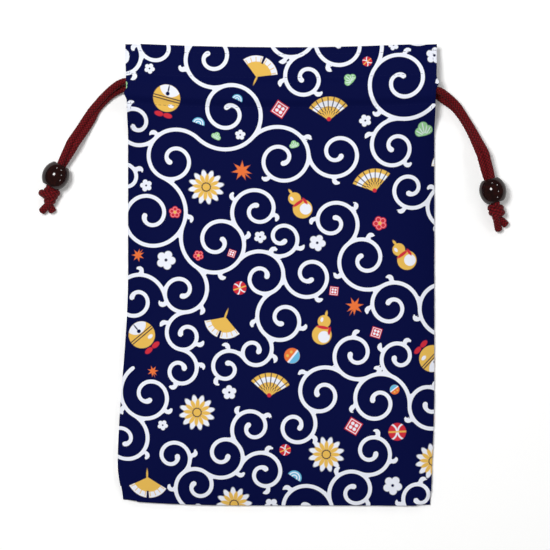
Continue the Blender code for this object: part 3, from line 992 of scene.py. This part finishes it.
def camellia(x, y):
    px, py = folded(x, y, 5, math.pi / 2)
    return [
        ("red", either(disc(px, py, 0.5, 0.0, 0.48), disc(x, y, 0.0, 0.0, 0.5))),
        ("pink", band(reach_of(px - 0.52, py), 0.3, 0.05)),
        ("gold", disc(x, y, 0.0, 0.0, 0.23)),
    ]


def pine(x, y):
    lobes = either(disc(x, y, 0.0, 0.3, 0.5), disc(x, y, -0.46, -0.1, 0.44), disc(x, y, 0.46, -0.1, 0.44))
    cloud = either(lobes, oval(x, y, 0.0, -0.3, 0.8, 0.28))
    reach, lean = from_pivot(x, y, 0.62)
    needles = joined("PINGPONG", lean, 0.2) * reach - 0.04
    return [("green", cloud), ("white", both(cloud + 0.12, needles, 0.3 - reach))]


def maple(x, y):
    px, py = folded(x, y, 7, math.pi / 2)
    return [("orange", either(py - (1.0 - px) * 0.3, oval(x, y, 0.0, -0.6, 0.06, 0.4)))]


def waves(x, y):
    y = y + 0.45
    reach = reach_of(x, y)
    half = both(reach - 0.98, -y)
    return [("blue", half), ("white", both(half, either(band(reach, 0.72, 0.08), band(reach, 0.36, 0.08))))]


def diamond(x, y):
    rim = abs(x) + abs(y) - 0.98
    px, py = folded(x, y, 4, 0.0)
    return [
        ("red", rim),
        ("white", band(rim, -0.2, 0.055)),
        ("white", disc(px, py, 0.3, 0.0, 0.17)),
    ]


def paper_ball(x, y):
    rim = disc(x, y, 0.0, 0.0, 0.88)
    return [
        ("orange", rim),
        ("blue", both(rim, y + 0.12)),
        ("white", both(rim, band(y, -0.12, 0.1))),
        ("gold", either(disc(x, y, -0.32, 0.4, 0.16), disc(x, y, 0.28, 0.34, 0.16))),
    ]


def thread_ball(x, y):
    rim = disc(x, y, 0.0, 0.0, 0.88)
    arcs = either(band(reach_of(x + 0.85, y), 0.8, 0.08), band(reach_of(x - 0.85, y), 0.8, 0.08))
    return [("red", rim), ("white", both(rim, arcs)), ("gold", both(rim, band(y, 0.0, 0.08)))]


LARGE = (fan, gourd, bell, ginkgo, chrysanthemum)
SMALL = (pine, camellia, plum, thread_ball, waves, diamond, plum, paper_ball, maple, plum)

# %% [markdown]
# ## The cloth
#
# A panel is one sheet: its sides and bottom are turned in, and its top is folded inwards as a deep
# hem, stitched in two rows so that it leaves a channel for the cords. The sheet is a grid of rows
# and columns, and each row knows how deep its layer lies. Folds are half turns of a small radius.
# Real cloth is never even, so low waves and fine puckers beside the stitches are added to the
# front. The back lies flat on the table.

# %% Surface of a panel
GRID, HEM_GRID = 1.27, 1.4


def waves_of(x, y, seed, length):
    """Smooth unevenness, as a sum of a few sine waves in different directions."""
    chance = random.Random(seed)
    total = np.zeros(np.broadcast(x, y).shape)
    for _ in range(7):
        angle, phase = chance.uniform(0, math.pi), chance.uniform(0, 2 * math.pi)
        scale = 2 * math.pi / (length * chance.uniform(0.7, 1.6))
        total = total + np.sin((x * math.cos(angle) + y * math.sin(angle)) * scale + phase)
    return total / 7


def channel_swell(row):
    rise = ease(row, CHANNEL_BOTTOM, CHANNEL_MIDDLE - LANE_FLAT)
    return rise * (1 - ease(row, CHANNEL_MIDDLE + LANE_FLAT, CHANNEL_TOP))


def corner_share(x, row):
    from_side = np.minimum(x - left_edge(row), right_edge(row) - x)
    in_side = ease(HEM_END_INSET - from_side, 0.0, SIDE_TURNING)
    return in_side * ease(BOTTOM + HEM_END_INSET - row, 0.0, SIDE_TURNING)


def front_level(x, row):
    share = across(x, row)
    belly = BELLY_HEIGHT + (FRONT_NECK_LEVEL - BELLY_HEIGHT) * ease(row, 0.0, CHANNEL_BOTTOM)
    edge = SEAM_EDGE_LEVEL + (FRONT_NECK_LEVEL - SEAM_EDGE_LEVEL) * ease(row, SEAM_TOP, CHANNEL_BOTTOM)
    edge = edge - (SEAM_EDGE_LEVEL - CORNER_EDGE_LEVEL) * corner_share(x, row)
    towards_bottom = np.clip(row / BOTTOM_FOLD, 0.0, 1.0)
    level = edge + (belly - edge) * (1 - share**6) * (1 - towards_bottom**6)
    return level - ease(row, CHANNEL_TOP, TOP) * (FRILL_DROOP + FRILL_CORNER_DROOP * share**6)


def puckers(x, row):
    """Fine ripples on both sides of each stitch row, and the dip along the row itself."""
    total = np.zeros(np.broadcast(x, row).shape)
    for n, stitch_row in enumerate(STITCH_ROWS):
        away = np.abs(row - stitch_row)
        ripple = waves_of(x, x * 0, 40 + n, 8.0) * 0.34 * np.exp(-away / 4.5)
        total = total + ripple - 0.2 * np.exp(-((away / 0.9) ** 2))
    return total


def bulge(row, at, height, width, from_edge):
    return height * np.exp(-(((row - at) / width) ** 2)) * (1 - ease(from_edge, 0.0, 4.0))


def pushed_out(x, row):
    """The side edges bulge a little where a cord turns round inside the channel."""
    left = bulge(row, 115.4, 1.7, 2.2, x - left_edge(row))
    right = bulge(row, 122.4, 1.9, 2.4, right_edge(row) - x)
    return x - left + right


def front_surface(x, row, depth, hem):
    swell = CHANNEL_SWELL / 2 * channel_swell(row)
    free = 1 - np.abs(across(x, row)) ** 8
    uneven = 0.55 * waves_of(x, row, 11, 60.0) + 0.22 * waves_of(x, row, 12, 22.0)
    level = front_level(x, row) + uneven * free + puckers(x, row) * free
    return pushed_out(x, row), settled(row, across(x, row)), level - depth + np.where(hem, -swell, swell)


def back_surface(x, row, depth, hem):
    swell = np.where(hem, CHANNEL_SWELL * channel_swell(row), 0.0)
    return pushed_out(x, row), settled(row, across(x, row)), BACK_LEVEL + depth + swell


# %% [markdown]
# ### The sheet as a grid
#
# The rows go from the raw bottom edge round its fold, up the face, round the top fold and down the
# hem, and the columns go from side to side in the same way. The hem and the bottom turning stop
# short of the sides, and the side turnings stop above the lower corners, so that no turning lies in
# another. The print's place up the cloth is measured along it, so the top fold doesn't stretch it.

# %% Sheet of cloth
FOLD_STEPS = 5


def half_turn():
    angles = [math.pi * n / FOLD_STEPS for n in range(1, FOLD_STEPS)]
    return [(FOLD_RADIUS * math.sin(a), FOLD_RADIUS * (1 - math.cos(a))) for a in angles]


def turning_steps():
    """Insets and depths of a turned edge, from its raw edge to the fold line."""
    flat = [(SIDE_TURNING * share, LAYER_STEP) for share in (1.0, 0.7, 0.35, 0.0)]
    return flat + [(-past, depth) for past, depth in reversed(half_turn())]


def sheet_rows():
    """Every row of a panel: where it lies, how deep, and which part of the cloth it belongs to."""
    rows = [(BOTTOM_FOLD + inset, depth, "turned") for inset, depth in turning_steps()]
    count = round((TOP_FOLD - BOTTOM_FOLD) / GRID)
    face = TOP_FOLD - BOTTOM_FOLD
    rows += [(BOTTOM_FOLD + face * n / count, 0.0, "face") for n in range(count + 1)]
    rows += [(TOP_FOLD + past, depth, "hem") for past, depth in half_turn()]
    hem = TOP_FOLD - HEM_END
    count = round(hem / HEM_GRID)
    return rows + [(TOP_FOLD - hem * n / count, LAYER_STEP, "hem") for n in range(count + 1)]


def cloth_panel(name, surface, outward, seed, print_shift, finishes):
    """One sheet with its folds, its print and its two sides, as a closed piece."""
    rows = sheet_rows()
    row = np.array([r[0] for r in rows])[:, None]
    row_depth = np.array([r[1] for r in rows])[:, None]
    part = np.array([r[2] for r in rows])
    low, high = left_edge(row) + FOLD_INSET, right_edge(row) - FOLD_INSET
    count = round((high - low).mean() / GRID)
    face_x = low + (high - low) * np.arange(count + 1) / count
    turned = np.array(turning_steps())
    left_x, right_x = low + turned[:, 0], high - turned[::-1, 0]
    x = np.concatenate([left_x, face_x, right_x], axis=1)
    none = np.zeros(count + 1)
    depth = row_depth + np.concatenate([turned[:, 1], none, turned[::-1, 1]])[None, :]
    is_turned = np.concatenate([turned[:, 0] * 0 + 1, none, turned[:, 0] * 0 + 1]) > 0
    px, py, pz = surface(x, row + 0 * x, depth, (part == "hem")[:, None])
    verts = np.stack([px, py, pz], axis=-1).reshape(-1, 3)

    step = np.abs(np.diff(row[:, 0], prepend=row[0, 0]))
    step = step + 0.7 * np.abs(np.diff(row_depth[:, 0], prepend=0.0))
    flat_v = np.cumsum(step)
    flat_v = flat_v - flat_v[np.argmax(part == "face")] + BOTTOM_FOLD
    flat_u = x + 0 * row
    inner = np.minimum(x - low, high - x)
    middle = inner > HEM_END_INSET - 0.7
    wide = x.shape[1]
    keep = []
    start_row = BOTTOM + HEM_END_INSET
    for i in range(len(rows) - 1):
        plain = part[i] == "face" and part[i + 1] == "face"
        for j in range(wide - 1):
            if is_turned[j] or is_turned[j + 1]:
                if not plain or rows[i][0] < start_row:
                    continue
            elif not plain and not (middle[i, j] and middle[i, j + 1] and middle[i + 1, j]):
                continue
            a = i * wide + j
            face = (a, a + 1, a + wide + 1, a + wide)
            keep.append(face if outward > 0 else face[::-1])
    used = np.unique(np.array(keep))
    renumber = np.full(len(verts), -1)
    renumber[used] = np.arange(len(used))
    faces = renumber[np.array(keep)]
    u, v = flat_u.ravel()[used], (flat_v[:, None] + 0 * x).ravel()[used]
    made = link_mesh(name, (verts[used] * MM).tolist(), faces.tolist(), finishes)

    numbers = print_numbers(u * outward + print_shift[0], v + print_shift[1], seed)
    for carried, values in numbers.items():
        layer = made.data.attributes.new(carried, "FLOAT", "POINT")
        layer.data.foreach_set("value", values.astype(np.float32))
    weave = made.data.uv_layers.new(name="cloth")
    corners = np.array([loop.vertex_index for loop in made.data.loops])
    weave.data.foreach_set("uv", np.stack([u[corners], v[corners]], axis=1).ravel().astype(np.float32))

    thicken = made.modifiers.new("thickness", "SOLIDIFY")
    thicken.thickness = CLOTH * MM
    thicken.offset = 0.0
    thicken.use_even_offset = True
    thicken.material_offset = 1
    thicken.material_offset_rim = 1
    print(name, len(faces), "faces, then doubled")
    return made


# %% [markdown]
# ### The cloth's finish
#
# The print is painted over navy: the vines first, then every motif within its own patch. A plain
# weave of about 0.5 mm gives a fine bump and makes the colours a little uneven. The wrong side is a
# duller navy, as ink doesn't go right through the cloth.

# %% Cloth material
INKS = {
    "navy": linear(8, 14, 63),
    "white": linear(236, 239, 249),
    "gold": linear(231, 186, 88),
    "red": linear(205, 48, 62),
    "pink": linear(240, 142, 152),
    "green": linear(150, 205, 148),
    "orange": linear(233, 116, 60),
    "blue": linear(104, 184, 222),
}
WEAVE = 0.5


def carried(tree, name):
    return Formula(add_node(tree, "ShaderNodeAttribute", attribute_name=name).outputs["Fac"])


def painted_print(tree):
    """The colour of the printed side."""
    Formula.tree = tree
    vine = joined("MULTIPLY_ADD", carried(tree, "vine"), -5.0, 0.5)
    vine.socket.node.use_clamp = True
    colour = mix_colours(tree, vine.socket, INKS["navy"], INKS["white"])
    x, y, kind = carried(tree, "motif_x"), carried(tree, "motif_y"), carried(tree, "motif_kind")
    here = joined("GREATER_THAN", carried(tree, "motif_here"), 0.99)
    for number, motif in enumerate(LARGE + SMALL):
        if motif in (LARGE + SMALL)[:number]:
            continue
        same = [n for n, other in enumerate(LARGE + SMALL) if other is motif]
        chosen = joined("COMPARE", kind, float(number), 0.4)
        for n in same[1:]:
            chosen = chosen + joined("COMPARE", kind, float(n), 0.4)
        chosen = chosen * here
        sharp = -24.0 if motif in LARGE else -11.0
        for ink, shape in motif(x, y):
            inside = joined("MULTIPLY_ADD", shape, sharp, 0.5)
            inside.socket.node.use_clamp = True
            colour = mix_colours(tree, (inside * chosen).socket, colour, INKS[ink])
    return colour


def cloth_material(name, printed):
    made, tree, shader = new_material(name, Roughness=0.7, Specular_IOR_Level=0.02)
    place = add_node(tree, "ShaderNodeUVMap", uv_map="cloth").outputs["UV"]
    parts = add_node(tree, "ShaderNodeSeparateXYZ")
    tree.links.new(place, parts.inputs[0])
    Formula.tree = tree
    warp = joined("SINE", Formula(parts.outputs["X"]) * (math.pi / WEAVE))
    weft = joined("SINE", Formula(parts.outputs["Y"]) * (math.pi / WEAVE))
    threads = joined("MULTIPLY_ADD", warp * weft, 0.5, 0.5)
    blotch = add_node(tree, "ShaderNodeTexNoise", {"Scale": 0.9, "Detail": 4.0, "Roughness": 0.6})
    tree.links.new(place, blotch.inputs["Vector"])
    shade = (threads + Formula(blotch.outputs["Fac"]) * 0.5) * 0.1
    if printed:
        colour = painted_print(tree)
        darker = add_node(tree, "ShaderNodeHueSaturation", {"Value": 0.7})
        tree.links.new(colour, darker.inputs["Color"])
        colour = mix_colours(tree, shade.socket, colour, darker.outputs["Color"])
    else:
        colour = mix_colours(tree, shade.socket, linear(28, 36, 96), linear(16, 22, 70))
    tree.links.new(colour, shader.inputs["Base Color"])
    bump(tree, shader, threads.socket, 0.35, 0.00006)
    return made


# %% [markdown]
# ### The two panels
#
# Front and back are the same sheet on two surfaces, each with a seed of its own, so their prints
# differ. The flat size of a sheet is its face with all its turnings, as it would be cut.

# %% Panels
FRONT_SEED, BACK_SEED = 5, 9
finishes = [cloth_material("printed cotton", True), cloth_material("wrong side of the cotton", False)]
panels = {
    "front": cloth_panel("front_panel_cloth", front_surface, 1, FRONT_SEED, (0.0, 0.0), finishes),
    "back": cloth_panel("back_panel_cloth", back_surface, -1, BACK_SEED, (4.0, 0.0), finishes),
}
for side, panel in panels.items():
    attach(panel, "bag")
    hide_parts(f"{side}_panel")

# %% [markdown]
# ## The stitches
#
# A row of stitches repeats one small shape along a path, which is what Geometry Nodes are for. The
# tree resamples the path at the pitch of the stitches, puts a short thread on each point along it,
# and turns the result into real faces. On the front the path lies on the surface of the cloth. On
# the back it lies just inside, so that no thread goes below the table.

# %% Stitch tree
STITCH_LENGTH, STITCH_GAP, THREAD = 2.1, 0.75, 0.26


def thread_material():
    made, tree, shader = new_material("navy thread", Roughness=0.7, Specular_IOR_Level=0.05)
    place = add_node(tree, "ShaderNodeTexCoord").outputs["Object"]
    twist = add_node(tree, "ShaderNodeTexNoise", {"Scale": 4000.0})
    tree.links.new(place, twist.inputs["Vector"])
    colour = mix_colours(tree, twist.outputs["Fac"], linear(8, 12, 52), linear(18, 24, 84))
    tree.links.new(colour, shader.inputs["Base Color"])
    return made


def stitch_tree(thread):
    tree = bpy.data.node_groups.new("stitches along a path", "GeometryNodeTree")
    tree.interface.new_socket("Geometry", in_out="INPUT", socket_type="NodeSocketGeometry")
    inputs = {}
    for name in ("Stitch pitch", "Stitch length", "Thread radius"):
        socket = tree.interface.new_socket(name, in_out="INPUT", socket_type="NodeSocketFloat")
        inputs[name] = socket.identifier
    tree.interface.new_socket("Geometry", in_out="OUTPUT", socket_type="NodeSocketGeometry")
    given, result = tree.nodes.new("NodeGroupInput"), tree.nodes.new("NodeGroupOutput")
    to_curve = tree.nodes.new("GeometryNodeMeshToCurve")
    resample = tree.nodes.new("GeometryNodeResampleCurve")
    resample.mode = "LENGTH"
    tangent = tree.nodes.new("GeometryNodeInputTangent")
    align = tree.nodes.new("FunctionNodeAlignRotationToVector")
    align.axis = "Z"
    stitch = tree.nodes.new("GeometryNodeMeshUVSphere")
    stitch.inputs["Segments"].default_value = 8
    stitch.inputs["Rings"].default_value = 6
    stitch.inputs["Radius"].default_value = 1.0
    shape = tree.nodes.new("ShaderNodeCombineXYZ")
    half = add_node(tree, "ShaderNodeMath", {1: 0.5}, operation="MULTIPLY")
    put = tree.nodes.new("GeometryNodeInstanceOnPoints")
    realize = tree.nodes.new("GeometryNodeRealizeInstances")
    finish = tree.nodes.new("GeometryNodeSetMaterial")
    finish.inputs["Material"].default_value = thread
    link = tree.links.new
    link(given.outputs["Geometry"], to_curve.inputs["Mesh"])
    link(to_curve.outputs["Curve"], resample.inputs["Curve"])
    link(given.outputs["Stitch pitch"], resample.inputs["Length"])
    link(resample.outputs["Curve"], put.inputs["Points"])
    link(stitch.outputs["Mesh"], put.inputs["Instance"])
    link(tangent.outputs["Tangent"], align.inputs["Vector"])
    link(align.outputs["Rotation"], put.inputs["Rotation"])
    link(given.outputs["Thread radius"], shape.inputs["X"])
    link(given.outputs["Thread radius"], shape.inputs["Y"])
    link(given.outputs["Stitch length"], half.inputs[0])
    link(half.outputs[0], shape.inputs["Z"])
    link(shape.outputs["Vector"], put.inputs["Scale"])
    link(put.outputs["Instances"], realize.inputs["Geometry"])
    link(realize.outputs["Geometry"], finish.inputs["Geometry"])
    link(finish.outputs["Geometry"], result.inputs["Geometry"])
    return tree, inputs


# %% [markdown]
# ### Where the stitches run
#
# Three rows cross each panel: one near the mouth, and one on each side of the channel. Two more run
# beside the side edges, from the top of the side seams up to the mouth, where the sides are open.

# %% Stitch rows
ROW_INSET, SIDE_STITCH, BELOW_MOUTH = 1.2, 2.6, 1.5


def on_surface(surface, xs, rows, lift):
    x, y, z = surface(xs, rows, 0.0, np.zeros(len(xs), dtype=bool))
    return np.stack([x, y, z + lift], axis=1)


def row_path(surface, row, lift):
    """Points of a row across the bag."""
    xs = np.linspace(float(left_edge(row)) + ROW_INSET, float(right_edge(row)) - ROW_INSET, 150)
    return on_surface(surface, xs, np.full(150, row), lift)


def side_path(surface, edge, lift):
    """Points along one side of the bag, a set distance inside its edge."""
    rows = np.linspace(SEAM_TOP, TOP - BELOW_MOUTH, 60)
    side = 1 if edge is left_edge else -1
    return on_surface(surface, edge(rows) + side * SIDE_STITCH, rows, lift)


def stitched(name, paths, tree, inputs):
    """Runs the tree on the paths and keeps the plain mesh that it gives."""
    verts, edges = [], []
    for path in paths:
        first = len(verts)
        verts += (path * MM).tolist()
        edges += [(first + n, first + n + 1) for n in range(len(path) - 1)]
    mesh = bpy.data.meshes.new(name)
    mesh.from_pydata(verts, edges, [])
    made = bpy.data.objects.new(name, mesh)
    bpy.context.scene.collection.objects.link(made)
    modifier = made.modifiers.new("stitches", "NODES")
    modifier.node_group = tree
    modifier[inputs["Stitch pitch"]] = (STITCH_LENGTH + STITCH_GAP) * MM
    modifier[inputs["Stitch length"]] = STITCH_LENGTH * MM
    modifier[inputs["Thread radius"]] = THREAD / 2 * MM
    evaluated = made.evaluated_get(bpy.context.evaluated_depsgraph_get())
    plain = bpy.data.meshes.new_from_object(evaluated)
    made.modifiers.clear()
    made.data = plain
    plain.shade_smooth()
    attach(made, "bag")
    print(name, len(plain.polygons), "faces")


tree, inputs = stitch_tree(thread_material())
sides = {"front": (front_surface, CLOTH / 2), "back": (back_surface, -CLOTH / 2 + THREAD / 2)}
for side, (surface, lift) in sides.items():
    paths = [row_path(surface, row, lift) for row in STITCH_ROWS]
    paths += [side_path(surface, edge, lift) for edge in (left_edge, right_edge)]
    stitched(f"{side}_stitches", paths, tree, inputs)

# %% [markdown]
# ## The room
#
# The table is matt white. It looks as white to the camera as in the photograph because its surface
# glows a little for camera rays and for mirrored and see-through ones only, so the bag isn't lit
# any brighter by it, and its shadow still shows.

# %% Table
table_material = bpy.data.materials.new("white table")
table_material.use_nodes = True
table_tree = table_material.node_tree
table_tree.nodes.clear()
surface_out = table_tree.nodes.new("ShaderNodeOutputMaterial")
paint = add_node(table_tree, "ShaderNodeBsdfDiffuse", {"Color": (0.93, 0.93, 0.925, 1.0)})
glow = add_node(table_tree, "ShaderNodeEmission", {"Color": (1.0, 1.0, 0.995, 1.0)})
rays = table_tree.nodes.new("ShaderNodeLightPath")
sum_shader = table_tree.nodes.new("ShaderNodeAddShader")
seen = math_node(table_tree, "MAXIMUM", rays.outputs["Is Camera Ray"], rays.outputs["Is Glossy Ray"])
seen = math_node(table_tree, "MAXIMUM", seen, rays.outputs["Is Transmission Ray"])
table_tree.links.new(math_node(table_tree, "MULTIPLY", seen, 0.12), glow.inputs["Strength"])
table_tree.links.new(paint.outputs[0], sum_shader.inputs[0])
table_tree.links.new(glow.outputs[0], sum_shader.inputs[1])
table_tree.links.new(sum_shader.outputs[0], surface_out.inputs["Surface"])

TABLE_SIZE, TABLE_LEVEL = 3.0, -0.0002
half_table = TABLE_SIZE / 2
table_mesh = bpy.data.meshes.new("table")
corners = [(x * half_table, y * half_table, TABLE_LEVEL) for x, y in ((-1, -1), (1, -1), (1, 1), (-1, 1))]
table_mesh.from_pydata(corners, [], [(0, 1, 2, 3)])
table_mesh.materials.append(table_material)
table_top = bpy.data.objects.new("table", table_mesh)
bpy.context.scene.collection.objects.link(table_top)
table_top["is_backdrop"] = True

# %% [markdown]
# ### The lamps
#
# One broad lamp hangs a little to the left of the camera. Four small ones are lower, from beyond the
# mouth of the bag round to its lower right, and show as points in the beads. The sky is one plain
# dim grey, which the polished beads mirror as a dark room. Together they are just strong enough
# that the white of the print comes out as it is written.

# %% Lamps and sky
LAMP_DISTANCE = 1.3


def area_lamp(name, place, size, power):
    data = bpy.data.lights.new(name, "AREA")
    data.shape = "DISK"
    data.size = size
    data.energy = power
    lamp = bpy.data.objects.new(name, data)
    lamp.location = place
    lamp.rotation_euler = (-Vector(place)).to_track_quat("-Z", "Y").to_euler()
    bpy.context.scene.collection.objects.link(lamp)


area_lamp("broad lamp", (-0.35, 0.29, LAMP_DISTANCE), 0.4, 14.5)
for number, (compass, tilt) in enumerate(((90, 57), (45, 58), (0, 47), (-45, 59))):
    compass, tilt = math.radians(compass), math.radians(tilt)
    flat_part = LAMP_DISTANCE * math.sin(tilt)
    height = LAMP_DISTANCE * math.cos(tilt)
    spot = (flat_part * math.cos(compass), flat_part * math.sin(compass), height)
    area_lamp(f"small lamp {number + 1}", spot, 0.12, 1.0)

world = bpy.data.worlds.new("room")
bpy.context.scene.world = world
world.use_nodes = True
sky = world.node_tree.nodes["Background"]
sky.inputs["Color"].default_value = (1.0, 1.0, 1.0, 1.0)
sky.inputs["Strength"].default_value = 0.18
bpy.context.scene.view_settings.view_transform = "Standard"

# %% [markdown]
# ## The dressed bag's box
#
# The dressed bag has to fill the same space as the solids, so the box round every shown piece but the table
# is found.

# %% Sizes and finish
low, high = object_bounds()
